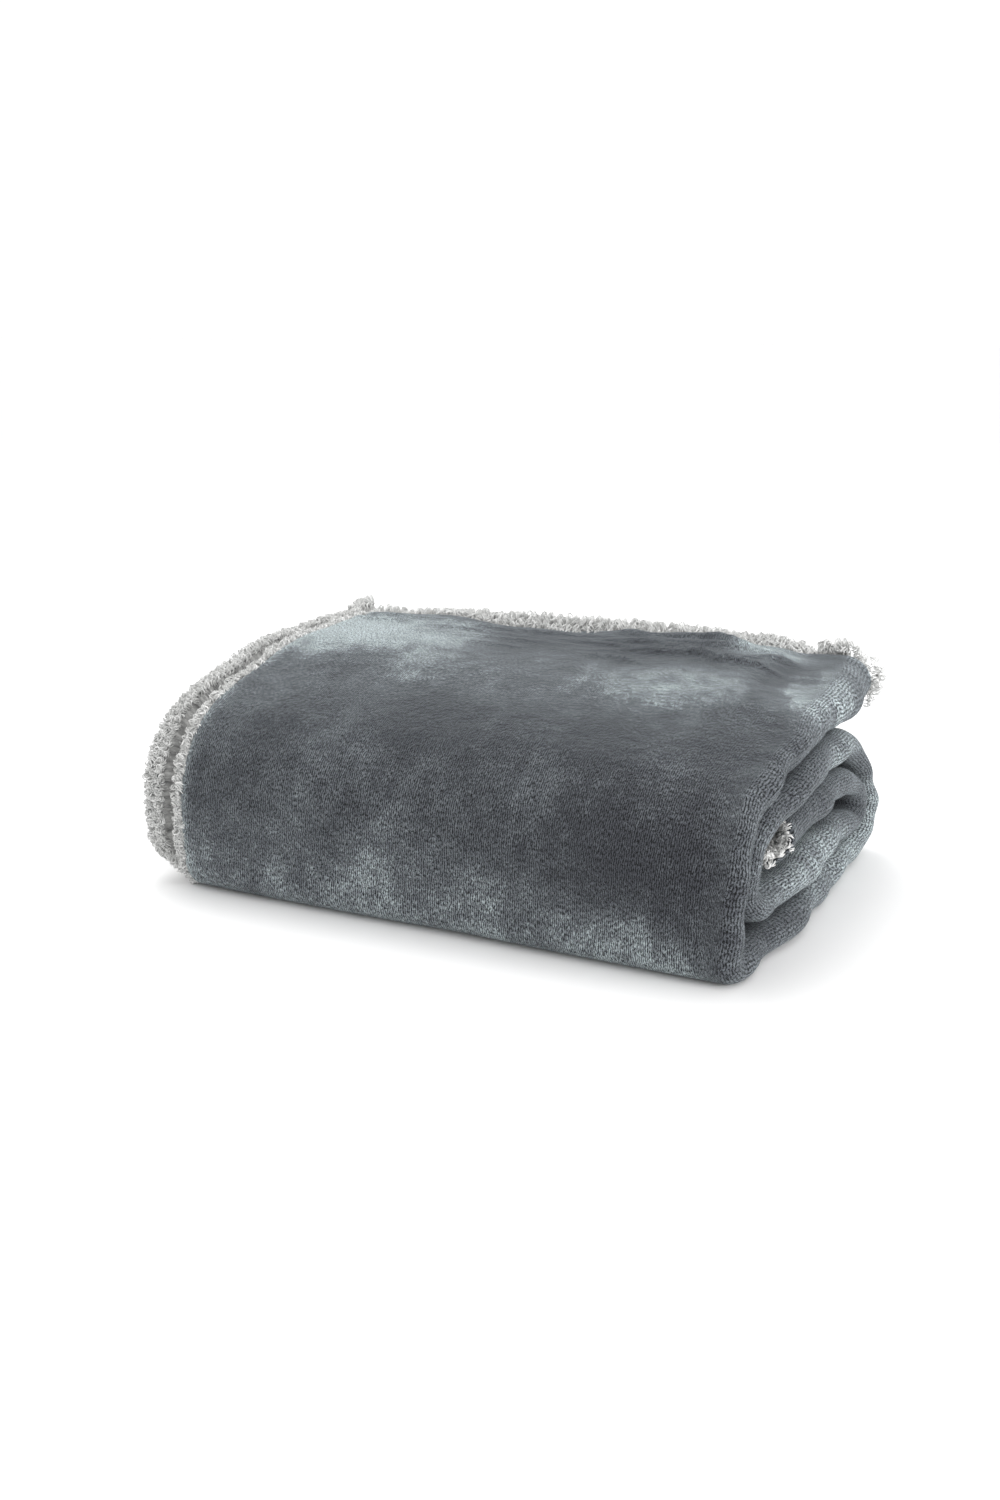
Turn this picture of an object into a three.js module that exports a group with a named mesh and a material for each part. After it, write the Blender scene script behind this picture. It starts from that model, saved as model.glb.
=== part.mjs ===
// A plush throw blanket, folded in three across its width and rolled up into a loaf.
//
// The cloth is described flat and then bent. A point of the flat blanket has three coordinates:
//   u  across the width, from the hem of the outside panel to the hem of the inside panel
//   v  along the length, from the end in the core of the roll to the free end on top
//   w  through the thickness, from the plush face (0) to the tips of the sherpa pile (ply.tips)
// crossFold() lays u and w in a zigzag of three panels, one on another, like a folded letter.
// rollPoint() carries a depth below the outside of that stack along the line of the roll.
// bend() puts the two together. Every piece is a flat box of (u, v, w) that is bent that way,
// so the pieces lie on each other as they do on the real blanket.
//
// Frame: millimetres, X along the loaf, Y from front to back, Z up, origin under its centre.
import * as THREE from "three";

// Driving dimensions.
const blanket = { width: 1300, length: 1600 };
const ply = { plush: 2.4, base: 3.6, tips: 9.4 }; // plush fabric 0 to 2.4, sherpa fabric 3.6 to 9.4
const panelGap = 0.8; // between two panels that face each other
const rollGap = 1.4; // between one turn of the roll and the next
const loaf = { halfLength: 228, halfDepth: 159 };
const insideHemInset = 34; // the inside panel's hem stops this far short of the right-hand fold
const front = { lower: 31, upper: 84 }; // radii of the outer turn's front, at the floor and on top
const coreInset = 50; // from the front of the inner turn to the end in the core
const seam = { near: 6, far: 9, outer: 2.7, inner: 3.3 }; // stitching between the two fabrics
const label = { width: 30, sewn: 5, shows: 15, outer: 2.75, inner: 3.25, fromBack: 95 };
const sag = { startY: 60, flattening: 0.36 }; // the back of the four lower layers is pressed down
const freeEndStagger = 16; // the outside panel's hem on top stops this far short of the others
const staggerLength = 160; // the cloth takes that up over this much of its length

// Faceting.
const foldSteps = 8; // in each half turn across the width
const bendStep = Math.PI / 12; // the largest turn between two rows along the roll
const sagStep = 13; // the longest step between two rows where the layers sag
const staggerSteps = 3;

// The stack of three panels, measured inwards from its outside face.
const groundW = (ply.plush + ply.base) / 2; // this depth of the cloth keeps its flat length
const rightCentre = ply.tips + panelGap / 2; // the right-hand fold turns about this depth
const leftCentre = 2 * ply.tips + 1.5 * panelGap; // the left-hand fold turns about this depth
const stackDepth = 3 * ply.tips + 2 * panelGap;
const pitch = stackDepth + rollGap; // from one layer of the loaf to the next

// Where the folds and hems lie along X, and u at each change from panel to fold.
const rightFoldX = loaf.halfLength - rightCentre;
const leftFoldX = rightCentre - loaf.halfLength;
const rightArc = Math.PI * (rightCentre - groundW);
const leftArc = Math.PI * (panelGap / 2 + groundW);
const middlePanel = rightFoldX - leftFoldX;
const insidePanel = loaf.halfLength - insideHemInset - leftFoldX;
const outsidePanel = blanket.width - middlePanel - insidePanel - rightArc - leftArc;
const uRight = outsidePanel;
const uMiddle = uRight + rightArc;
const uLeft = uMiddle + middlePanel;
const uInside = uLeft + leftArc;

/** Lays (u, w) in the zigzag: x along the loaf, and depth below the stack's outside face. */
function crossFold(u, w) {
  if (u <= uRight) return { x: rightFoldX - outsidePanel + u, depth: w };
  if (u < uMiddle) {
    const angle = ((u - uRight) / rightArc) * Math.PI;
    const radius = rightCentre - w;
    const depth = rightCentre - radius * Math.cos(angle);
    return { x: rightFoldX + radius * Math.sin(angle), depth };
  }
  if (u <= uLeft) return { x: rightFoldX - (u - uMiddle), depth: 2 * rightCentre - w };
  if (u < uInside) {
    const angle = ((u - uLeft) / leftArc) * Math.PI;
    const radius = panelGap / 2 + w;
    const depth = leftCentre - radius * Math.cos(angle);
    return { x: leftFoldX - radius * Math.sin(angle), depth };
  }
  return { x: leftFoldX + (u - uInside), depth: leftCentre + panelGap / 2 + w };
}

// The roll, seen from the right-hand end as (y, z). Layers count up from the floor: the cloth runs
// from the core as layer 3, round the back to layer 2, round the front to layer 4, round the back
// to layer 1 and round the front to layer 5, which ends at the back. Every bend turns clockwise.
const layerTop = (n) => n * pitch - rollGap;
const noseY = -loaf.halfDepth;
const innerNoseY = noseY + pitch;
const innerFront = { lower: front.lower, upper: front.upper - pitch };
const backRadius = layerTop(4) / 2;
const hairpinRadius = backRadius - pitch;
const backCentreY = loaf.halfDepth - backRadius;
const core = { y: innerNoseY + coreInset, z: layerTop(3) };

const run = (length) => ({ length, radius: 0, turn: 0 });
const bendOf = (radius, turn) => ({ length: (radius - groundW) * turn, radius, turn });
const moves = [
  run(backCentreY - core.y),
  bendOf(hairpinRadius, Math.PI),
  run(backCentreY - innerNoseY - innerFront.lower),
  bendOf(innerFront.lower, Math.PI / 2),
  run(layerTop(4) - pitch - innerFront.upper - innerFront.lower),
  bendOf(innerFront.upper, Math.PI / 2),
  run(backCentreY - innerNoseY - innerFront.upper),
  bendOf(backRadius, Math.PI),
  run(backCentreY - noseY - front.lower),
  bendOf(front.lower, Math.PI / 2),
  run(layerTop(5) - front.upper - front.lower),
  bendOf(front.upper, Math.PI / 2),
];
const headsBack = new Set([moves[0], moves[6]]); // the runs of layers 3 and 4
const headsForward = new Set([moves[2], moves[8]]); // the runs of layers 2 and 1
const usedLength = moves.reduce((sum, move) => sum + move.length, 0);
moves.push(run(blanket.length - usedLength));

const topLayerStart = usedLength;

/** How much of its height a point of the four lower layers keeps. */
function sagFactor(y) {
  const t = Math.min(1, Math.max(0, (y - sag.startY) / (loaf.halfDepth - sag.startY)));
  return 1 - sag.flattening * t * t * (3 - 2 * t);
}

/** The point (y, z) at length v along the roll and at a depth inside its outside line. */
function rollPoint(v, depth) {
  let { y, z } = core;
  let heading = 0;
  let left = v;
  for (const [index, move] of moves.entries()) {
    const last = index === moves.length - 1;
    const part = last ? left : Math.min(left, move.length);
    if (move.turn === 0) {
      y += part * Math.cos(heading);
      z += part * Math.sin(heading);
    } else {
      const after = heading - (part / move.length) * move.turn;
      y += move.radius * (Math.sin(heading) - Math.sin(after));
      z += move.radius * (Math.cos(after) - Math.cos(heading));
      heading = after;
    }
    left -= part;
    if (left <= 0) break;
  }
  const inside = { y: y + depth * Math.sin(heading), z: z - depth * Math.cos(heading) };
  if (v < topLayerStart) inside.z *= sagFactor(inside.y);
  return inside;
}

/** How far the cloth at (u, v) is drawn back from the free end; nothing past the right fold. */
function drawnBack(u, v) {
  const across = Math.max(0, 1 - Math.max(u, 0) / uMiddle);
  const along = Math.min(1, Math.max(0, (v - blanket.length + staggerLength) / staggerLength));
  return freeEndStagger * across * along;
}

/** The place in the loaf of a point of the flat blanket. */
function bend(u, v, w) {
  const { x, depth } = crossFold(u, w);
  const { y, z } = rollPoint(v - drawnBack(u, v), depth);
  return [x, y, z];
}

/** Numbers from start to end in equal steps. */
function spread(start, end, steps) {
  return Array.from({ length: steps + 1 }, (_, i) => start + ((end - start) * i) / steps);
}

/** The values of stops that lie between start and end, with both ends. */
function between(start, end, stops) {
  return [start, ...stops.filter((s) => s > start + 0.01 && s < end - 0.01), end];
}

const columns = [
  ...spread(uRight, uMiddle, foldSteps),
  ...spread(uLeft, uInside, foldSteps),
];

/** Lengths along the roll at which the cloth needs a row: each end of a run, and round a bend. */
function rowStops() {
  const stops = [];
  let start = 0;
  for (const move of moves) {
    const end = start + move.length;
    const steps = Math.max(1, Math.ceil(move.turn / bendStep - 1e-9));
    stops.push(...spread(start, end, steps).slice(1));
    const sagLength = backCentreY - sag.startY;
    const sagSteps = Math.ceil(sagLength / sagStep);
    if (headsBack.has(move)) stops.push(...spread(end - sagLength, end, sagSteps));
    if (headsForward.has(move)) stops.push(...spread(start, start + sagLength, sagSteps));
    start = end;
  }
  stops.push(...spread(blanket.length - staggerLength, blanket.length, staggerSteps));
  return stops.sort((a, b) => a - b).filter((s, i, all) => i === 0 || s - all[i - 1] > 0.5);
}
const rows = rowStops();

const fabric = (color) => new THREE.MeshStandardMaterial({ color, roughness: 0.95, metalness: 0 });
const plushGrey = fabric(0x6a7076);
const sherpaWhite = fabric(0xc9c8c4);
const threadGrey = fabric(0x83878b);
const labelWhite = fabric(0xf0f0ee);

/** A piece of cloth: the flat box us by vs by outer to inner, bent into the loaf. */
function clothPiece(name, us, vs, outer, inner, material) {
  const points = [];
  for (const w of [outer, inner]) {
    for (const v of vs) {
      for (const u of us) points.push(bend(u, v, w));
    }
  }
  const [nu, nv] = [us.length, vs.length];
  const at = (i, j, k) => k * nu * nv + j * nu + i;
  const faces = [];
  const quad = (a, b, c, d) => faces.push(a, b, c, a, c, d);
  for (let j = 0; j + 1 < nv; j++) {
    for (let i = 0; i + 1 < nu; i++) {
      quad(at(i, j, 0), at(i + 1, j, 0), at(i + 1, j + 1, 0), at(i, j + 1, 0));
      quad(at(i, j, 1), at(i, j + 1, 1), at(i + 1, j + 1, 1), at(i + 1, j, 1));
    }
  }
  for (let j = 0; j + 1 < nv; j++) {
    quad(at(0, j, 0), at(0, j + 1, 0), at(0, j + 1, 1), at(0, j, 1));
    quad(at(nu - 1, j, 1), at(nu - 1, j + 1, 1), at(nu - 1, j + 1, 0), at(nu - 1, j, 0));
  }
  for (let i = 0; i + 1 < nu; i++) {
    quad(at(i, 0, 1), at(i + 1, 0, 1), at(i + 1, 0, 0), at(i, 0, 0));
    quad(at(i, nv - 1, 0), at(i + 1, nv - 1, 0), at(i + 1, nv - 1, 1), at(i, nv - 1, 1));
  }
  const geometry = new THREE.BufferGeometry();
  geometry.setAttribute("position", new THREE.Float32BufferAttribute(points.flat(), 3));
  geometry.setIndex(faces);
  geometry.computeVertexNormals();
  const mesh = new THREE.Mesh(geometry, material);
  mesh.name = name;
  return mesh;
}

const { width, length } = blanket;

/** One of the blanket's two fabrics, the full size of the blanket. */
function fabricPanel(name, outer, inner, material) {
  const us = between(0, width, columns);
  const vs = between(0, length, rows);
  return clothPiece(name, us, vs, outer, inner, material);
}

/** The stitching along one long side, u from near to far. */
function sideSeam(name, near, far) {
  const vs = between(seam.near, length - seam.near, rows);
  return clothPiece(name, [near, far], vs, seam.outer, seam.inner, threadGrey);
}

/** The stitching across one end, v from near to far, between the two side seams. */
function endSeam(name, near, far) {
  const us = between(seam.far + 1, width - seam.far - 1, columns);
  return clothPiece(name, us, [near, far], seam.outer, seam.inner, threadGrey);
}

/** A blank care label, caught in the outside panel's side seam on the layer that lies on the floor. */
function careLabel() {
  const floorRunStart = moves.slice(0, 8).reduce((sum, move) => sum + move.length, 0);
  const start = floorRunStart + label.fromBack;
  const us = [-label.shows, label.sewn];
  return clothPiece("care_label", us, [start, start + label.width], label.outer, label.inner, labelWhite);
}

const throwBlanket = new THREE.Group();
throwBlanket.name = "folded_throw_blanket";
throwBlanket.add(
  fabricPanel("plush_face", 0, ply.plush, plushGrey),
  fabricPanel("sherpa_backing", ply.base, ply.tips, sherpaWhite),
  sideSeam("seam_side_outside", seam.near, seam.far),
  sideSeam("seam_side_inside", width - seam.far, width - seam.near),
  endSeam("seam_end_core", seam.near, seam.far),
  endSeam("seam_end_free", length - seam.far, length - seam.near),
  careLabel(),
);

export default throwBlanket;
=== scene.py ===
"""A folded plush and sherpa throw blanket, built over its CAD frame.

The cloth is flat first: u across its width, v along its length and w through its thickness, in
millimetres. cross_fold() lays the width in three panels, roll_point() carries the stack along the
roll, and shape() adds what soft cloth does on top of that: it sags, swells at its folds, wrinkles
and ends unevenly. Both fabrics, the stitching and every tuft of pile go through the same map.
"""

import math

import bpy
import numpy as np
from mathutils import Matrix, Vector


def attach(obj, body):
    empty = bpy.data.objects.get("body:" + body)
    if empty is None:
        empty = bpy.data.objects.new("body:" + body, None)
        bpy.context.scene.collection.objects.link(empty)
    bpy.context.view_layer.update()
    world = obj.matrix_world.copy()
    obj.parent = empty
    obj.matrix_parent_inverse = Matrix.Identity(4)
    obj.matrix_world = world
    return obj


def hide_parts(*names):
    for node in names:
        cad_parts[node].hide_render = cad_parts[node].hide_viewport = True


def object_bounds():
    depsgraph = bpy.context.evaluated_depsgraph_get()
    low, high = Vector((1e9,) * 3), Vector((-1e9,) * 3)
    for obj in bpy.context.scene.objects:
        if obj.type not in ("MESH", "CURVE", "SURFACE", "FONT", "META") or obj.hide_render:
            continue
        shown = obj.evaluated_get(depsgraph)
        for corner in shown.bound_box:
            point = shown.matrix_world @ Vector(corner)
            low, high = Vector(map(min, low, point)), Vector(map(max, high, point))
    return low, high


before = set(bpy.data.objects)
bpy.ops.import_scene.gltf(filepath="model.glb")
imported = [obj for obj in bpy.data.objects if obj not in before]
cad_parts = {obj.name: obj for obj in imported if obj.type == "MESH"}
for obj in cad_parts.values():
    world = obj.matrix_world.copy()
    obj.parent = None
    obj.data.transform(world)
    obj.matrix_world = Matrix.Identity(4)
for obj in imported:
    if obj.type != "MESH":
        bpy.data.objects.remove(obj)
cad_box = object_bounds()

MM = 0.001
PI = math.pi

# Driving dimensions, as in the CAD model, in millimetres; the loaf's half sizes are the frame's.
WIDTH, LENGTH = 1300.0, 1600.0
PLUSH, BASE, TIPS = 2.4, 3.6, 9.4
PANEL_GAP, ROLL_GAP = 0.8, 1.4
HALF_LENGTH, HALF_DEPTH = (round(side / MM, 2) for side in cad_box[1][:2])
INSIDE_HEM_INSET = 34.0
FRONT_LOWER, FRONT_UPPER = 31.0, 84.0
CORE_INSET = 50.0
SAG_START, SAG_FLATTENING = 60.0, 0.36
STAGGER, STAGGER_LENGTH = 16.0, 160.0
LABEL_FROM_BACK = 95.0

GROUND = (PLUSH + BASE) / 2
RIGHT_CENTRE = TIPS + PANEL_GAP / 2
LEFT_CENTRE = 2 * TIPS + 1.5 * PANEL_GAP
STACK = 3 * TIPS + 2 * PANEL_GAP
PITCH = STACK + ROLL_GAP

RIGHT_X = HALF_LENGTH - RIGHT_CENTRE
LEFT_X = RIGHT_CENTRE - HALF_LENGTH
RIGHT_ARC = PI * (RIGHT_CENTRE - GROUND)
LEFT_ARC = PI * (PANEL_GAP / 2 + GROUND)
MIDDLE = RIGHT_X - LEFT_X
INSIDE = HALF_LENGTH - INSIDE_HEM_INSET - LEFT_X
OUTSIDE = WIDTH - MIDDLE - INSIDE - RIGHT_ARC - LEFT_ARC
U_RIGHT = OUTSIDE
U_MIDDLE = U_RIGHT + RIGHT_ARC
U_LEFT = U_MIDDLE + MIDDLE
U_INSIDE = U_LEFT + LEFT_ARC
HEM_X = RIGHT_X - OUTSIDE

# How soft cloth departs from the CAD's even folds, in millimetres or as a share of a layer.
CORE_STAGGER, CORE_REACH, CORE_STAGGER_LENGTH = 34.0, 10.0, 150.0
FOLD_FULLNESS, FLAP_FULLNESS = 0.2, 0.7
GATHER_HEIGHT, GATHER_SIZE, GATHER_SLANT = 1.6, 44.0, 1.6
RIGHT_WAVE, RIGHT_WAVE_SIZE = 1.6, 260.0
CORNER_DRAWN_IN, END_DRAWN_IN, END_DRAWN_IN_AT_FRONT = 9.0, 4.0, 8.0
LEFT_FOLD_SWELL, LEFT_FOLD_PUFF = 12.0, 0.45
FURROW_OFFSET, FURROW_WIDTH, FURROW_DEPTH = 9.0, 2.2, 7.0
HEM_TUCK, LEFT_FOLD_TUCK = 5.0, 11.0
BROAD_RELIEF, BROAD_RELIEF_SIZE, FINE_RELIEF, FINE_RELIEF_SIZE = 1.0, 150.0, 0.35, 50.0
RIDGE_COUNT = 28
VALLEY_X, VALLEY_SLOPE, VALLEY_WIDTH, VALLEY_DEPTH = 184.0, 0.12, 13.0, 2.6
FRONT_EDGE_HEIGHT = 6.0
FRONT_PRESSED, RISE_TO_BACK, RISE_START, RISE_LENGTH = 0.885, 0.125, -110.0, 120.0
RIGHT_DROOP, FLAP_DROOP, LEFT_RISE = 0.06, 0.03, 0.018
PINCH_PLACE, PINCH_WIDTH, PINCH_DEPTH = 0.6, 2.4, 3.2
HEM_DROP, HEM_WAVE, HEM_WAVE_SIZE = 2.6, 1.3, 110.0
PANEL_LIFT, PANEL_LIFT_LESS_AT_LEFT = 16.0, 8.5
FLOOR_GAP = 0.05


def layer_top(n):
    """The height of the top of the roll's nth layer from the floor, before it sags."""
    return n * PITCH - ROLL_GAP


NOSE_Y = -HALF_DEPTH
INNER_NOSE_Y = NOSE_Y + PITCH
INNER_UPPER = FRONT_UPPER - PITCH
BACK_RADIUS = layer_top(4) / 2
BACK_Y = HALF_DEPTH - BACK_RADIUS


def roll_moves():
    """The roll as (ground length, radius, turn, start y, start z, start heading), core first."""
    plan = [
        (BACK_Y - INNER_NOSE_Y - CORE_INSET, 0, 0),
        (0, BACK_RADIUS - PITCH, PI),
        (BACK_Y - INNER_NOSE_Y - FRONT_LOWER, 0, 0),
        (0, FRONT_LOWER, PI / 2),
        (layer_top(4) - PITCH - INNER_UPPER - FRONT_LOWER, 0, 0),
        (0, INNER_UPPER, PI / 2),
        (BACK_Y - INNER_NOSE_Y - INNER_UPPER, 0, 0),
        (0, BACK_RADIUS, PI),
        (BACK_Y - NOSE_Y - FRONT_LOWER, 0, 0),
        (0, FRONT_LOWER, PI / 2),
        (layer_top(5) - FRONT_UPPER - FRONT_LOWER, 0, 0),
        (0, FRONT_UPPER, PI / 2),
        (0, 0, 0),
    ]
    y, z, heading = INNER_NOSE_Y + CORE_INSET, layer_top(3), 0.0
    moves = []
    for length, radius, turn in plan:
        ground = length if turn == 0 else (radius - GROUND) * turn
        moves.append((ground, radius, turn, y, z, heading))
        after = heading - turn
        y += length * math.cos(heading) + radius * (math.sin(heading) - math.sin(after))
        z += length * math.sin(heading) + radius * (math.cos(after) - math.cos(heading))
        heading = after
    used = sum(move[0] for move in moves)
    moves[-1] = (LENGTH - used,) + moves[-1][1:]
    return np.array(moves)


MOVES = roll_moves()
STARTS = np.concatenate([[0.0], np.cumsum(MOVES[:, 0])])
TOP_START = STARTS[12]


def smooth(t):
    """0 below 0, 1 above 1 and an S-curve between."""
    t = np.clip(t, 0.0, 1.0)
    return t * t * (3 - 2 * t)


def roll_point(v, depth):
    """(y, z) at length v along the roll and at a depth inside its outside line."""
    index = np.clip(np.searchsorted(STARTS, v, side="right") - 1, 0, 12)
    ground, radius, turn, y, z, heading = (MOVES[index, c] for c in range(6))
    part = v - STARTS[index]
    straight = np.where(turn == 0, part, 0.0)
    after = heading - np.where(turn > 0, part / ground, 0.0) * turn
    y = y + straight * np.cos(heading) + radius * (np.sin(heading) - np.sin(after))
    z = z + straight * np.sin(heading) + radius * (np.cos(after) - np.cos(heading))
    y = y + depth * np.sin(after)
    z = z - depth * np.cos(after)
    return y, z


def cross_fold(u, w):
    """x along the loaf and depth below the stack's outside face."""
    right = (np.clip(u, U_RIGHT, U_MIDDLE) - U_RIGHT) / RIGHT_ARC * PI
    left = (np.clip(u, U_LEFT, U_INSIDE) - U_LEFT) / LEFT_ARC * PI
    r_right, r_left = RIGHT_CENTRE - w, PANEL_GAP / 2 + w
    where = [u <= U_RIGHT, u < U_MIDDLE, u <= U_LEFT, u < U_INSIDE]
    x = np.select(where, [
        HEM_X + u,
        RIGHT_X + r_right * np.sin(right),
        RIGHT_X - (u - U_MIDDLE),
        LEFT_X - r_left * np.sin(left),
    ], LEFT_X + (u - U_INSIDE))
    depth = np.select(where, [
        w,
        RIGHT_CENTRE - r_right * np.cos(right),
        2 * RIGHT_CENTRE - w,
        LEFT_CENTRE - r_left * np.cos(left),
    ], LEFT_CENTRE + PANEL_GAP / 2 + w)
    return x, depth


def waves(a, b, seed, size, count=5):
    """A smooth uneven field of two coordinates, about -1 to 1, with features of the given size."""
    rng = np.random.default_rng(seed)
    total = np.zeros(np.broadcast(a, b).shape)
    for _ in range(count):
        angle, phase = rng.uniform(0, 2 * PI, 2)
        rate = 2 * PI / (size * rng.uniform(0.7, 1.6))
        total += np.sin((a * math.cos(angle) + b * math.sin(angle)) * rate + phase)
    return total / math.sqrt(count)


def ridges(x, back, seed, count):
    """Low creases that run along the loaf, back millimetres before the free hem."""
    rng = np.random.default_rng(seed)
    total = np.zeros(x.shape)
    for _ in range(count):
        x0, d0 = rng.uniform(-190, 190), rng.uniform(12, 110)
        half_length, half_width = rng.uniform(15, 45), rng.uniform(3.0, 6.0)
        height, slope = rng.uniform(1.6, 3.8), rng.uniform(-0.15, 0.45)
        height *= 0.85 + 1.1 * min(max(x0 / 120, 0), 1)
        across = (back - d0 - slope * (x - x0)) / half_width
        total += height * np.exp(-((x - x0) / half_length) ** 2 - across ** 2)
    return total


def profile(y, z, top):
    """Tilts the upper side up towards the back, and presses the back of the lower layers down."""
    rise = FRONT_PRESSED + RISE_TO_BACK * smooth((y - RISE_START) / RISE_LENGTH)
    sag = 1 - SAG_FLATTENING * smooth((y - SAG_START) / (HALF_DEPTH - SAG_START))
    return z * np.where(top, rise, np.minimum(rise, 1.0) * sag)


def falloff(distance, width):
    """1 at no distance, fading to nothing over a few widths."""
    return np.exp(-(distance / width) ** 2)


def stagger(u, v):
    """Draws the outside panel back at both ends, so the pile inside it shows."""
    across = np.clip(1 - np.maximum(u, 0) / U_MIDDLE, 0, 1)
    free = np.clip((v - LENGTH + STAGGER_LENGTH) / STAGGER_LENGTH, 0, 1)
    core = np.clip(1 - v / CORE_STAGGER_LENGTH, 0, 1)
    oblique = np.clip((U_MIDDLE - u) / RIGHT_ARC, 0, 1)
    return v - STAGGER * across * free + core * (CORE_STAGGER * oblique - CORE_REACH)


def swell_right_folds(x, depth, v, back, flap, right, outer_panels):
    """The right-hand folds swell to fill their layer, most of all in the free flap, and gather."""
    fullness = FOLD_FULLNESS + FLAP_FULLNESS * flap
    swell = smooth((x - RIGHT_X) / (30 + 25 * flap) + 1) * outer_panels
    depth = depth * (1 + fullness * swell)
    bulge = fullness * (np.maximum(x - RIGHT_X, 0) * outer_panels - RIGHT_CENTRE * right)
    gather = GATHER_HEIGHT * waves(v, GATHER_SLANT * depth, 6, GATHER_SIZE) * swell * (1 - 0.7 * flap)
    corner = CORNER_DRAWN_IN * smooth(1 - back / 75) * smooth((x - 100) / 120)
    uneven = RIGHT_WAVE * waves(v, 0 * v, 5, RIGHT_WAVE_SIZE) * right
    return x + bulge + gather - corner + uneven, depth


def swell_left_fold(x, depth, v, back, inner_panels):
    """The left-hand fold swells level with the outside panel's hem, except underneath.

    A furrow parts it from the pile at that hem, and both tuck in towards the floor.
    """
    puff_along = 0.5 - 0.5 * smooth((v - STARTS[7]) / 120) + smooth((v - STARTS[9] + 30) / 110)
    puff = smooth((HEM_X - FURROW_OFFSET - x) / 4) * inner_panels * puff_along
    depth = depth - (STACK - depth) * LEFT_FOLD_PUFF * puff
    furrow = FURROW_DEPTH * falloff(x - HEM_X + FURROW_OFFSET, FURROW_WIDTH)
    furrow = furrow * inner_panels * smooth(back / 60)
    depth = depth + furrow * np.clip(1 - depth / STACK, 0, 1)
    tuck = smooth((v - STARTS[8]) / 60) * smooth((STARTS[10] + 14 - v) / 60)
    x = x + tuck * (HEM_TUCK + LEFT_FOLD_TUCK * smooth((HEM_X - x) / 20)) * smooth((-150 - x) / 40)
    return x - LEFT_FOLD_SWELL * smooth((HEM_X - x) / 22) * inner_panels, depth


def relief(x, v, back):
    """How far the outside face sinks: soft unevenness, creases, a valley and a sharper front edge."""
    uneven = BROAD_RELIEF * waves(x, v, 11, BROAD_RELIEF_SIZE)
    uneven = uneven + FINE_RELIEF * waves(x, v, 12, FINE_RELIEF_SIZE)
    on_floor = smooth((v - STARTS[8] + 80) / 80) * smooth((STARTS[9] + 40 - v) / 40)
    uneven = uneven + (0.6 * np.abs(uneven) - uneven) * on_floor
    crease = ridges(x, back, 21, RIDGE_COUNT) * (v > TOP_START) * smooth((185 - x) / 50)
    valley = VALLEY_DEPTH * falloff(x - VALLEY_X + VALLEY_SLOPE * back, VALLEY_WIDTH)
    valley = valley * smooth(back / 60) * smooth(2.8 - back / 60)
    at_front_edge = np.clip((v - STARTS[9]) / (STARTS[10] - STARTS[9]), 0, 1)
    edge = FRONT_EDGE_HEIGHT * np.sin(PI * at_front_edge) ** 2
    return uneven - crease + valley - edge


def pinch(u, v):
    """A crease in the outermost right-hand fold where it goes up the front."""
    at_front = smooth((v - STARTS[9] + 20) / 40) * smooth((TOP_START + 70 - v) / 60)
    return PINCH_DEPTH * at_front * falloff(u - U_RIGHT - PINCH_PLACE * RIGHT_ARC, PINCH_WIDTH)


def free_hem(u, x, back, outer_panels):
    """The free hem waves and drops a little, and the two panels inside it lift above it."""
    drop = HEM_DROP * smooth(1 - back / 40) * smooth((U_RIGHT - u) / 50) * outer_panels
    lift = smooth(1 - back / 30) * smooth((RIGHT_X - 12 - x) / 45) * (u > U_MIDDLE)
    lift = lift * (PANEL_LIFT - PANEL_LIFT_LESS_AT_LEFT * smooth((-60 - x) / 120))
    return lift - drop + HEM_WAVE * smooth(1 - back / 45) * waves(x, 0 * x, 31, HEM_WAVE_SIZE)


def shape(u, v, w):
    """The place in the loaf, in millimetres, of points of the flat cloth."""
    u, v, w = np.broadcast_arrays(*(np.asarray(c, dtype=float) for c in (u, v, w)))
    back = LENGTH - v
    outer_panels = u < (U_MIDDLE + U_LEFT) / 2
    v = stagger(u, v)
    x, depth = cross_fold(u, w)
    flap = smooth((v - TOP_START - 40) / 160)
    right = smooth((x - 60) / 150)
    x, depth = swell_right_folds(x, depth, v, back, flap, right, outer_panels)
    x, depth = swell_left_fold(x, depth, v, back, ~outer_panels)
    depth = depth + relief(x, v, back) * np.clip(1 - depth / STACK, 0, 1)
    y, z = roll_point(v, depth)
    z = profile(y, z, v >= TOP_START)
    z = z * (1 - (RIGHT_DROOP - FLAP_DROOP * flap) * smooth((x - 120) / 100))
    z = z * (1 + LEFT_RISE * smooth((-20 - x) / 140) * smooth((y + 90) / 100))
    drawn_in = END_DRAWN_IN + END_DRAWN_IN_AT_FRONT * smooth((-30 - y) / 90)
    x = x - right * drawn_in - pinch(u, v)
    z = z + free_hem(u, x, back, outer_panels)
    return np.stack([x, y, np.maximum(z, FLOOR_GAP)], axis=-1)


def stops(*parts):
    """Values along one side of a grid, from (start, end, step) parts."""
    values = []
    for start, end, step in parts:
        n = max(1, int(round((end - start) / step)))
        values.extend(np.linspace(start, end, n, endpoint=False))
    values.append(parts[-1][1])
    return np.array(values)


def new_piece(name, points, faces):
    """A smooth-shaded mesh object from points in metres."""
    mesh = bpy.data.meshes.new(name)
    mesh.from_pydata(points.tolist(), [], faces)
    mesh.shade_smooth()
    piece = bpy.data.objects.new(name, mesh)
    bpy.context.collection.objects.link(piece)
    return piece


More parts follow.
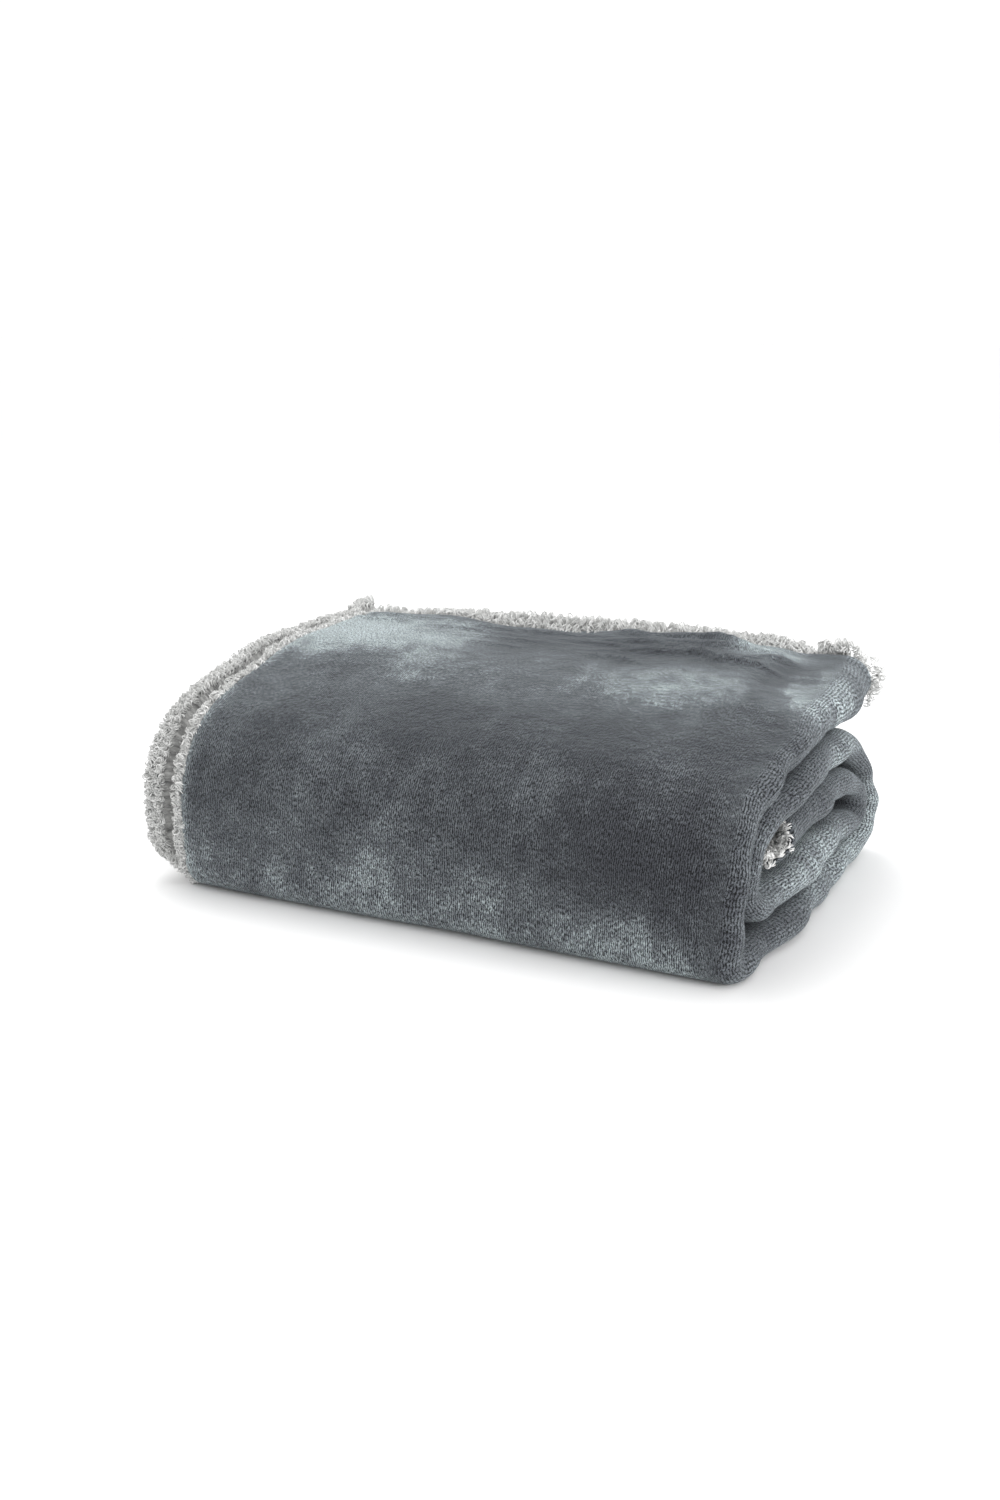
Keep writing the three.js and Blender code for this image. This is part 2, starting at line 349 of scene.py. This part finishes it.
def grid_mesh(name, us, vs, outer, inner):
    """A closed sheet: the flat box us by vs by outer to inner, shaped into the loaf."""
    uu, vv = np.meshgrid(us, vs)
    edge = np.minimum(np.minimum(uu, WIDTH - uu), np.minimum(vv, LENGTH - vv))
    roll_over = 0.7 * (inner - outer) * (1 - smooth(edge / 4))
    top = shape(uu, vv, outer + roll_over)
    bottom = shape(uu, vv, inner + 0 * uu)
    nu, nv = len(us), len(vs)
    points = np.concatenate([top.reshape(-1, 3), bottom.reshape(-1, 3)]) * MM
    ids = np.arange(nu * nv).reshape(nv, nu)
    a, b, c, d = ids[:-1, :-1], ids[:-1, 1:], ids[1:, 1:], ids[1:, :-1]
    upper = np.stack([a, b, c, d], -1).reshape(-1, 4)
    lower = np.stack([a, d, c, b], -1).reshape(-1, 4) + nu * nv
    rim = np.concatenate([ids[0, :], ids[1:, -1], ids[-1, -2::-1], ids[-2:0:-1, 0]])
    after = np.roll(rim, -1)
    sides = np.stack([after, rim, rim + nu * nv, after + nu * nv], -1)
    faces = np.concatenate([upper, lower, sides])
    piece = new_piece(name, points, faces.tolist())
    flat = np.stack([np.tile(uu.ravel(), 2), np.tile(vv.ravel(), 2)], -1) * MM
    layer = piece.data.uv_layers.new(name="flat")
    layer.data.foreach_set("uv", flat[faces.ravel()].ravel())
    return piece


COLUMNS = stops((0, 8, 2), (8, U_RIGHT - 40, 7), (U_RIGHT - 40, U_RIGHT, 3.3),
                (U_RIGHT, U_MIDDLE, 1.5), (U_MIDDLE, U_MIDDLE + 40, 4), (U_MIDDLE + 40, U_LEFT - 20, 24),
                (U_LEFT - 20, U_LEFT, 1.5), (U_LEFT, U_INSIDE, 1.0), (U_INSIDE, U_INSIDE + 20, 5),
                (U_INSIDE + 20, WIDTH - 8, 24), (WIDTH - 8, WIDTH, 4))
ROWS = stops((0, 12, 4), (12, STARTS[7], 8), (STARTS[7], STARTS[8], 5), (STARTS[8], STARTS[9], 8),
             (STARTS[9], LENGTH - 8, 3.5), (LENGTH - 8, LENGTH, 2))

# The sherpa's closed face lies this far under the tips of its curls.
CURLS_ABOVE_BASE = 2.6
plush = grid_mesh("plush_cloth", COLUMNS, ROWS, 0.0, PLUSH)
sherpa = grid_mesh("sherpa_cloth", COLUMNS, ROWS, TIPS - CURLS_ABOVE_BASE, BASE)

# Each lock of pile has CURLS + FUZZ strands, each of RINGS rings of SIDES points. Locks start PILE_W
# deep in the cloth.
CURLS, FUZZ, RINGS, SIDES = 6, 2, 5, 3
PILE_W = TIPS - 3.0
LOCK_SPACING = 4.6
LOCK_HEIGHT, LOCK_WIDTH, LOCK_TWIST = (3.2, 5.4), (1.9, 2.9), (1.5, 3.6)
STRAND_GIRTH, STRAY_GIRTH = (0.5, 0.8), 0.22
LOCK_LEAN_SPREAD = 0.24


def unit(a):
    """Vectors made one long."""
    return a / np.linalg.norm(a, axis=-1, keepdims=True)


def locks(name, seed, centres, lean=(0.0, 0.0, 1.0), reach=1.0):
    """Curly pile as one mesh: at each (u, v, w) centre, strands wind round a dome into a curl.

    lean is the curl's direction along u, v and w. The last FUZZ strands are fine and stray out.
    """
    rng = np.random.default_rng(seed)
    u, v, w = centres(rng)
    count = len(u)
    root = shape(u, v, w)
    across, along, out = shape(u + 0.2, v, w), shape(u, v + 0.2, w), shape(u, v, w + 0.2)
    axis = unit(across - root) * lean[0] + unit(along - root) * lean[1] + unit(out - root) * lean[2]
    axis = unit(unit(axis) + rng.normal(scale=LOCK_LEAN_SPREAD, size=(count, 3)))
    side = unit(np.cross(axis, unit(rng.normal(size=(count, 3)))))
    other = np.cross(axis, side)
    height = rng.uniform(*LOCK_HEIGHT, (count, 1)) * reach
    width = rng.uniform(*LOCK_WIDTH, (count, 1)) * reach ** 0.5
    twist = rng.uniform(*LOCK_TWIST, (count, 1)) * rng.choice([-1, 1], (count, 1))
    points = np.zeros((count, CURLS + FUZZ, RINGS, SIDES, 3))
    for k in range(CURLS + FUZZ):
        stray = k >= CURLS
        start = 2 * PI * k / CURLS + rng.uniform(-0.5, 0.5, (count, 1))
        tall = rng.uniform(0.8, 1.1, (count, 1)) + 0.2 * stray
        girth = STRAY_GIRTH if stray else rng.uniform(*STRAND_GIRTH, (count, 1))
        for i in range(RINGS):
            t = i / (RINGS - 1)
            angle = start + twist * t * (0.3 if stray else 1.0)
            spoke = side * np.cos(angle) + other * np.sin(angle)
            away = 0.4 + 0.7 * t if stray else math.cos(0.45 * PI * t)
            centre = root + spoke * width * away + axis * height * tall * math.sin(0.5 * PI * t)
            taper = girth * (1 - 0.45 * t)
            for j in range(SIDES):
                turn = 2 * PI * j / SIDES
                points[:, k, i, j] = centre + (spoke * math.cos(turn) + axis * math.sin(turn)) * taper
    points[..., 2] = np.maximum(points[..., 2], FLOOR_GAP)
    ids = np.arange(count * (CURLS + FUZZ) * RINGS * SIDES).reshape(-1, RINGS, SIDES)
    after = np.roll(ids, -1, 2)
    quads = np.stack([ids[:, :-1], after[:, :-1], after[:, 1:], ids[:, 1:]], -1)
    faces = quads.reshape(-1, 4).tolist() + ids[:, -1].tolist()
    return new_piece(name, points.reshape(-1, 3) * MM, faces)


def patch(u_range, v_range, w_range=(PILE_W, PILE_W), spacing=(LOCK_SPACING, LOCK_SPACING)):
    """Lock centres on an uneven grid over a patch of the flat sherpa."""
    def centres(rng):
        nu = max(1, round((u_range[1] - u_range[0]) / spacing[0]))
        nv = max(1, round((v_range[1] - v_range[0]) / spacing[1]))
        cu = (np.arange(nu) + 0.5) * (u_range[1] - u_range[0]) / nu + u_range[0]
        cv = (np.arange(nv) + 0.5) * (v_range[1] - v_range[0]) / nv + v_range[0]
        u, v = np.meshgrid(cu, cv)
        u[1::2] += spacing[0] / 2 * (nu > 1)
        u = u + rng.uniform(-0.4, 0.4, u.shape) * spacing[0]
        v = v + rng.uniform(-0.4, 0.4, v.shape) * spacing[1]
        return u.ravel(), v.ravel(), rng.uniform(*w_range, u.size)
    return centres


def pile_pieces():
    """All the pile that can be seen: the left-hand fold, the hems, the flap's back and the core."""
    pieces = []
    cuts = np.linspace(0, LENGTH, 6)
    for i in range(5):
        # The fold stretches the cloth open, so its locks are closer together on the flat cloth.
        fold = patch((U_LEFT - 2, U_INSIDE + 4), (cuts[i], cuts[i + 1]), spacing=(1.6, 4.4))
        pieces.append(locks(f"pile_left_fold_{i + 1}", 100 + i, fold))
    beside_fold = patch((U_LEFT - 4.5, U_LEFT - 2), (0, LENGTH), spacing=(1.5, 4.6))
    pieces.append(locks("pile_beside_fold", 106, beside_fold))
    edge = (BASE + 1.0, PILE_W)
    side = patch((-7.5, 0.5), (0, LENGTH), (2.5, PILE_W), (2.6, 3.4))
    pieces.append(locks("pile_side_hem", 110, side, lean=(-0.35, 0, -0.9)))
    hem_outside = patch((0, U_MIDDLE), (LENGTH - 1, LENGTH + 5), (0.5, PILE_W), (3.6, 3.0))
    pieces.append(locks("pile_free_hem_outside", 120, hem_outside, lean=(0, 1.0, -0.9), reach=1.7))
    hem_corner = patch((U_RIGHT - 25, U_MIDDLE), (LENGTH, LENGTH + 6), (-3.5, 3.5), (1.8, 1.8))
    pieces.append(locks("pile_free_hem_corner", 119, hem_corner, lean=(0, 0.4, -1.0), reach=1.35))
    hem_middle = patch((U_MIDDLE - 6, U_LEFT), (LENGTH - 28, LENGTH))
    pieces.append(locks("pile_free_hem_middle", 121, hem_middle, lean=(0, 0.3, 1), reach=1.25))
    hem_inside = patch((U_MIDDLE, WIDTH), (LENGTH - 1, LENGTH + 2), edge, (4.2, 4.2))
    pieces.append(locks("pile_free_hem_inside", 122, hem_inside, lean=(0, 1.3, 1), reach=1.2))
    underside = patch((U_INSIDE, WIDTH), (LENGTH - 60, LENGTH), spacing=(6.0, 6.0))
    pieces.append(locks("pile_flap_underside", 123, underside))
    core_hem = patch((0, WIDTH), (0, 3), edge, (4.2, 4.2))
    pieces.append(locks("pile_core_hem", 124, core_hem, lean=(0, -1.2, 1), reach=1.1))
    core_mouth = patch((U_RIGHT - 12, U_MIDDLE + 30), (-3, 4), (0, PILE_W), (2.8, 2.8))
    pieces.append(locks("pile_core_mouth", 126, core_mouth, lean=(0, -1.0, 0.3), reach=0.9))
    core_fold = patch((U_RIGHT - 10, U_MIDDLE + 50), (0, 45))
    pieces.append(locks("pile_core_fold", 125, core_fold))
    return pieces


PILE = pile_pieces()

SEAM_NEAR, SEAM_FAR, SEAM_OUTER, SEAM_INNER = 6.0, 9.0, 2.7, 3.3
LABEL_WIDTH, LABEL_SEWN, LABEL_SHOWS = 30.0, 5.0, 15.0
LABEL_OUTER, LABEL_INNER = 2.75, 3.25
SEAM_ROWS = stops((SEAM_NEAR, LENGTH - SEAM_NEAR, 4))
SEAM_COLUMNS = stops((SEAM_FAR + 1, U_RIGHT, 6), (U_RIGHT, U_MIDDLE, 1.5), (U_MIDDLE, U_LEFT, 8),
                     (U_LEFT, U_INSIDE, 1.0), (U_INSIDE, WIDTH - SEAM_FAR - 1, 8))


def seam_piece(name, us, vs):
    """A thin strip of stitches between the two fabrics."""
    return grid_mesh(name, us, vs, SEAM_OUTER, SEAM_INNER)


LABEL_START = STARTS[8] + LABEL_FROM_BACK
SEAMS = {
    "seam_side_outside": seam_piece("stitching_side_outside", stops((SEAM_NEAR, SEAM_FAR, 1)), SEAM_ROWS),
    "seam_side_inside": seam_piece("stitching_side_inside",
                                   stops((WIDTH - SEAM_FAR, WIDTH - SEAM_NEAR, 1)), SEAM_ROWS),
    "seam_end_core": seam_piece("stitching_end_core", SEAM_COLUMNS, stops((SEAM_NEAR, SEAM_FAR, 1))),
    "seam_end_free": seam_piece("stitching_end_free", SEAM_COLUMNS,
                                stops((LENGTH - SEAM_FAR, LENGTH - SEAM_NEAR, 1))),
}
label = grid_mesh("label_tape", stops((-LABEL_SHOWS, LABEL_SEWN, 2)),
                  stops((LABEL_START, LABEL_START + LABEL_WIDTH, 2)), LABEL_OUTER, LABEL_INNER)


def new_material(name):
    """A new node material, its nodes and its links."""
    material = bpy.data.materials.new(name)
    material.use_nodes = True
    return material, material.node_tree.nodes, material.node_tree.links


def noise(nodes, links, coords, scale, detail=2.0, roughness=0.5):
    """Noise on the coordinates, about 0.5 on average."""
    node = nodes.new("ShaderNodeTexNoise")
    node.inputs["Scale"].default_value = scale
    node.inputs["Detail"].default_value = detail
    node.inputs["Roughness"].default_value = roughness
    links.new(coords, node.inputs["Vector"])
    return node.outputs["Fac"]


def maths(nodes, links, operation, a, b):
    """One operation on two numbers or sockets."""
    node = nodes.new("ShaderNodeMath")
    node.operation = operation
    for socket, value in ((node.inputs[0], a), (node.inputs[1], b)):
        if isinstance(value, (int, float)):
            socket.default_value = value
        else:
            links.new(value, socket)
    return node.outputs[0]


def remap(nodes, links, value, low, high, to_low, to_high):
    """to_low below low, to_high above high and an S-curve between."""
    node = nodes.new("ShaderNodeMapRange")
    node.interpolation_type = "SMOOTHSTEP"
    links.new(value, node.inputs["Value"])
    for name, number in (("From Min", low), ("From Max", high), ("To Min", to_low), ("To Max", to_high)):
        node.inputs[name].default_value = number
    return node.outputs["Result"]


# The plush's ribs, in metres. WAVE_PERIOD is the wave texture's own period at a scale of 1.
RIB_PITCH, WAVE_PERIOD = 0.0016, 0.314
PLUSH_DARK = (0.038, 0.040, 0.047, 1)
PLUSH_MIDDLE = (0.098, 0.107, 0.117, 1)
PLUSH_LIGHT = (0.36, 0.41, 0.42, 1)
SHERPA_SHADES = (0.58, 0.585, 0.575, 1), (0.90, 0.90, 0.89, 1)
# The sherpa's base is painted dark: painted shade between its curls.
SHERPA_BASE_PAINTED_SHADE_COLOURS = (0.18, 0.182, 0.18, 1), (0.55, 0.55, 0.54, 1)
THREAD_COLOUR, LABEL_COLOUR = (0.24, 0.26, 0.28), (0.85, 0.85, 0.83)

# Patches of tone on the flat cloth: centre and size in metres, and how much lighter or darker they
# look. Some are pile brushed another way; most are painted light: painted highlights on the fold crowns,
# the top's left end, the flap's corner and the lit right-hand end, and painted shade in the flap's
# valley, across the shoulder and top, and under the lowest fold.
BRUSHING_AND_PAINTED_LIGHT_PATCHES = (
    ((0.03, 1.29), (0.05, 0.06), -0.20),
    ((0.22, 1.35), (0.16, 0.045), -0.30),
    ((0.35, 1.27), (0.08, 0.06), -0.30),
    ((0.39, 1.40), (0.03, 0.07), -0.20),
    ((0.23, 1.53), (0.13, 0.045), -0.34),
    ((0.385, 1.49), (0.016, 0.07), -0.34),
    ((0.05, 1.50), (0.09, 0.08), 0.70),
    ((0.05, 1.20), (0.10, 0.05), 0.07),
    ((0.20, 1.20), (0.20, 0.045), 0.21),
    ((0.38, 1.19), (0.06, 0.04), 0.20),
    ((0.36, 1.57), (0.04, 0.03), 0.55),
    ((0.415, 1.49), (0.012, 0.07), 0.45),
    ((0.33, 1.45), (0.09, 0.045), 0.42),
    ((0.15, 1.43), (0.05, 0.03), 0.25),
    ((0.43, 0.93), (0.05, 0.14), 0.48),
    ((0.44, 1.11), (0.02, 0.05), -0.26),
    ((0.43, 0.38), (0.05, 0.10), 0.42),
    ((0.43, 0.70), (0.05, 0.08), 0.22),
)


def bump(nodes, links, shader, height, distance):
    """Gives the shader relief; distance is in metres for a height of 1."""
    node = nodes.new("ShaderNodeBump")
    node.inputs["Strength"].default_value = 1.0
    node.inputs["Distance"].default_value = distance
    links.new(height, node.inputs["Height"])
    links.new(node.outputs["Normal"], shader.inputs["Normal"])


def brushing_and_painted_light_patch(nodes, links, coords, centre, size, amount):
    """A soft-edged patch of the flat cloth: amount inside it, nothing outside."""
    local = nodes.new("ShaderNodeMapping")
    local.vector_type = "TEXTURE"
    local.inputs["Location"].default_value = (*centre, 0)
    local.inputs["Scale"].default_value = (*size, 1)
    links.new(coords, local.inputs["Vector"])
    distance = nodes.new("ShaderNodeVectorMath")
    distance.operation = "LENGTH"
    links.new(local.outputs["Vector"], distance.inputs[0])
    return remap(nodes, links, distance.outputs["Value"], 0.3, 1.4, amount, 0.0)


def scaled(nodes, links, coords, scale):
    """The coordinates, stretched by a factor along each."""
    node = nodes.new("ShaderNodeMapping")
    node.inputs["Scale"].default_value = (*scale, 1.0)
    links.new(coords, node.inputs["Vector"])
    return node.outputs["Vector"]


def plush_grain(nodes, links, flat):
    """Ribs along the cloth, broken up by speckle, a little either side of 0.5."""
    # The cloth stretches as it turns into the right-hand fold, so the grain is packed closer there.
    fold_start, fold_end = (U_RIGHT - 15) * MM, (U_RIGHT + 8) * MM
    packing = remap(nodes, links, flat["X"], fold_start, fold_end, 0.0, 0.009)
    packed = nodes.new("ShaderNodeCombineXYZ")
    links.new(maths(nodes, links, "ADD", flat["X"], packing), packed.inputs["X"])
    links.new(flat["Y"], packed.inputs["Y"])
    packed = packed.outputs["Vector"]
    ribs = nodes.new("ShaderNodeTexWave")
    ribs.inputs["Scale"].default_value = WAVE_PERIOD / RIB_PITCH
    ribs.inputs["Distortion"].default_value = 5.0
    ribs.inputs["Detail"].default_value = 2.0
    ribs.inputs["Detail Scale"].default_value = 0.7
    links.new(packed, ribs.inputs["Vector"])
    ribs = maths(nodes, links, "MULTIPLY", ribs.outputs["Fac"], 0.12)
    speckle = noise(nodes, links, scaled(nodes, links, packed, (1.0, 0.35)), 1150, 3, 0.8)
    return maths(nodes, links, "ADD", ribs, maths(nodes, links, "SUBTRACT", speckle, 0.06))


def wandering(nodes, links, coords):
    """The coordinates, shifted unevenly by up to 3 cm, so that patches placed on them look natural."""
    wander = nodes.new("ShaderNodeTexNoise")
    wander.inputs["Scale"].default_value = 22
    wander.inputs["Detail"].default_value = 3
    links.new(coords, wander.inputs["Vector"])
    offset = nodes.new("ShaderNodeVectorMath")
    offset.operation = "MULTIPLY_ADD"
    links.new(wander.outputs["Color"], offset.inputs[0])
    offset.inputs[1].default_value = (0.06, 0.06, 0.0)
    offset.inputs[2].default_value = (-0.03, -0.03, 0.0)
    shifted = nodes.new("ShaderNodeVectorMath")
    links.new(coords, shifted.inputs[0])
    links.new(offset.outputs["Vector"], shifted.inputs[1])
    return shifted.outputs["Vector"]


def plush_tone(nodes, links, coords, flat, mottle, tufts):
    """How light the plush looks, about 0 to 1: its brushed pile, with painted highlights and painted
    shade.
    """
    patches = noise(nodes, links, scaled(nodes, links, coords, (1.5, 0.75)), 14, 4, 0.5)
    uneven = wandering(nodes, links, coords)
    tone = remap(nodes, links, patches, 0.34, 0.68, 0.14, 0.38)
    for part in (
        remap(nodes, links, mottle, 0.34, 0.66, -0.10, 0.12),
        remap(nodes, links, tufts, 0.35, 0.65, -0.15, 0.15),
        # Painted highlights and painted shade, and pile brushed another way, patch by patch.
        *(brushing_and_painted_light_patch(nodes, links, uneven, *brushing_and_painted_light_entry) for brushing_and_painted_light_entry in BRUSHING_AND_PAINTED_LIGHT_PATCHES),
        # Along its hems the pile is pressed flat, and its lighter tone there is a painted highlight.
        remap(nodes, links, flat["X"], 0.0, 0.016, 0.42, 0.0),
        remap(nodes, links, flat["Y"], 1.588, 1.600, 0.0, 0.25),
    ):
        tone = maths(nodes, links, "ADD", tone, part)
    return tone


def plush_material():
    """Brushed plush: pile grain, mottling, patches where the pile lies another way, painted highlights
    and painted shade, and a sheen.
    """
    material, nodes, links = new_material("plush")
    shader = nodes["Principled BSDF"]
    shader.inputs["Roughness"].default_value = 0.8
    shader.inputs["Sheen Weight"].default_value = 0.36
    shader.inputs["Sheen Roughness"].default_value = 0.35
    shader.inputs["Sheen Tint"].default_value = (0.80, 0.90, 0.94, 1)
    shader.inputs["Specular IOR Level"].default_value = 0.15
    coords = nodes.new("ShaderNodeTexCoord").outputs["UV"]
    separate = nodes.new("ShaderNodeSeparateXYZ")
    links.new(coords, separate.inputs[0])
    flat = separate.outputs
    mottle = noise(nodes, links, coords, 75, 4, 0.6)
    tufts = noise(nodes, links, coords, 380, 3, 0.7)
    grain = plush_grain(nodes, links, flat)

    ramp = nodes.new("ShaderNodeValToRGB")
    ramp.color_ramp.elements[0].color = PLUSH_DARK
    ramp.color_ramp.elements[1].color = PLUSH_LIGHT
    middle = ramp.color_ramp.elements.new(0.45)
    middle.color = PLUSH_MIDDLE
    links.new(plush_tone(nodes, links, coords, flat, mottle, tufts), ramp.inputs["Fac"])
    speckled = nodes.new("ShaderNodeVectorMath")
    speckled.operation = "SCALE"
    links.new(ramp.outputs["Color"], speckled.inputs[0])
    links.new(remap(nodes, links, grain, 0.44, 0.56, 0.1, 1.9), speckled.inputs["Scale"])
    links.new(speckled.outputs["Vector"], shader.inputs["Base Color"])

    height = maths(nodes, links, "ADD", grain, maths(nodes, links, "MULTIPLY", mottle, 2.0))
    height = maths(nodes, links, "ADD", height, maths(nodes, links, "MULTIPLY", tufts, 1.2))
    bump(nodes, links, shader, height, 0.0012)
    return material


def sherpa_material():
    """Curly pile: each strand has its own shade of warm off-white."""
    material, nodes, links = new_material("sherpa")
    shader = nodes["Principled BSDF"]
    shader.inputs["Roughness"].default_value = 0.95
    shader.inputs["Sheen Weight"].default_value = 0.3
    shader.inputs["Specular IOR Level"].default_value = 0.1
    island = nodes.new("ShaderNodeNewGeometry").outputs["Random Per Island"]
    ramp = nodes.new("ShaderNodeValToRGB")
    ramp.color_ramp.elements[0].color = SHERPA_SHADES[0]
    ramp.color_ramp.elements[1].color = SHERPA_SHADES[1]
    links.new(island, ramp.inputs["Fac"])
    links.new(ramp.outputs["Color"], shader.inputs["Base Color"])
    return material


def sherpa_base_painted_shade_material():
    """The knitted base between the curls, painted darker than them as painted shade among the curls and
    in the furrow.
    """
    material, nodes, links = new_material("sherpa_base")
    shader = nodes["Principled BSDF"]
    shader.inputs["Roughness"].default_value = 1.0
    shader.inputs["Specular IOR Level"].default_value = 0.05
    coords = nodes.new("ShaderNodeTexCoord").outputs["UV"]
    curls = noise(nodes, links, coords, 260, 4, 0.65)
    ramp = nodes.new("ShaderNodeValToRGB")
    ramp.color_ramp.elements[0].position = 0.35
    ramp.color_ramp.elements[1].position = 0.65
    ramp.color_ramp.elements[0].color = SHERPA_BASE_PAINTED_SHADE_COLOURS[0]
    ramp.color_ramp.elements[1].color = SHERPA_BASE_PAINTED_SHADE_COLOURS[1]
    links.new(curls, ramp.inputs["Fac"])
    links.new(ramp.outputs["Color"], shader.inputs["Base Color"])
    bump(nodes, links, shader, curls, 0.002)
    return material


def woven_material(name, colour, scale):
    """Thread or tape: fine crossing yarns."""
    material, nodes, links = new_material(name)
    shader = nodes["Principled BSDF"]
    shader.inputs["Roughness"].default_value = 0.8
    coords = nodes.new("ShaderNodeTexCoord").outputs["UV"]
    weave = nodes.new("ShaderNodeTexWave")
    weave.inputs["Scale"].default_value = scale
    weave.bands_direction = "DIAGONAL"
    links.new(coords, weave.inputs["Vector"])
    ramp = nodes.new("ShaderNodeValToRGB")
    ramp.color_ramp.elements[0].color = (*(0.7 * c for c in colour), 1)
    ramp.color_ramp.elements[1].color = (*colour, 1)
    links.new(weave.outputs["Fac"], ramp.inputs["Fac"])
    links.new(ramp.outputs["Color"], shader.inputs["Base Color"])
    bump(nodes, links, shader, weave.outputs["Fac"], 0.0003)
    return material


PLUSH_MATERIAL = plush_material()
SHERPA_MATERIAL = sherpa_material()
THREAD_MATERIAL = woven_material("thread", THREAD_COLOUR, 400)
LABEL_MATERIAL = woven_material("label", LABEL_COLOUR, 250)
plush.data.materials.append(PLUSH_MATERIAL)
sherpa.data.materials.append(sherpa_base_painted_shade_material())
for node, piece in SEAMS.items():
    piece.data.materials.append(THREAD_MATERIAL)
    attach(piece, "root")
    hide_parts(node)
label.data.materials.append(LABEL_MATERIAL)
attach(label, "root")
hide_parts("care_label")
for piece in PILE:
    piece.data.materials.append(SHERPA_MATERIAL)
    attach(piece, "root")
for piece, node, slot in ((plush, "plush_face", "plush"), (sherpa, "sherpa_backing", "sherpa")):
    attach(piece, "root")
    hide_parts(node)


def stage():
    """A pale floor, an even white surround and two soft lights."""
    floor = bpy.data.objects.new("floor", bpy.data.meshes.new("floor"))
    size = 20.0
    corners = [(-size, -size, 0), (size, -size, 0), (size, size, 0), (-size, size, 0)]
    floor.data.from_pydata(corners, [], [(0, 1, 2, 3)])
    bpy.context.collection.objects.link(floor)
    material, nodes, _ = new_material("floor")
    nodes["Principled BSDF"].inputs["Base Color"].default_value = (0.93, 0.93, 0.93, 1)
    nodes["Principled BSDF"].inputs["Roughness"].default_value = 0.6
    floor.data.materials.append(material)

    world = bpy.data.worlds.new("studio")
    world.use_nodes = True
    world.node_tree.nodes["Background"].inputs["Color"].default_value = (1, 1, 1, 1)
    world.node_tree.nodes["Background"].inputs["Strength"].default_value = 1.08
    bpy.context.scene.world = world
    bpy.context.scene.view_settings.view_transform = "Standard"

    def area_light(name, place, size, power):
        light = bpy.data.lights.new(name, "AREA")
        light.size = size
        light.energy = power
        lamp = bpy.data.objects.new(name, light)
        lamp.location = place
        lamp.rotation_euler = (Vector((0, 0, 0.07)) - Vector(place)).to_track_quat("-Z", "Y").to_euler()
        bpy.context.collection.objects.link(lamp)

    area_light("overhead", (-0.7, 0.6, 1.8), 1.5, 22)
    area_light("side", (1.7, -0.1, 0.38), 0.8, 16)


def camera():
    """The camera, to the right of the front and a little above the loaf."""
    data = bpy.data.cameras.new("camera")
    data.lens = 37.9
    eye = Vector((0.483, -1.019, 0.402))
    pitch, azimuth = math.radians(15.5), math.radians(26.5)
    look = Vector((-math.sin(azimuth) * math.cos(pitch), math.cos(azimuth) * math.cos(pitch),
                   -math.sin(pitch)))
    view = bpy.data.objects.new("camera", data)
    view.location = eye
    view.rotation_euler = look.to_track_quat("-Z", "Y").to_euler()
    bpy.context.collection.objects.link(view)
    bpy.context.scene.camera = view


stage()
camera()
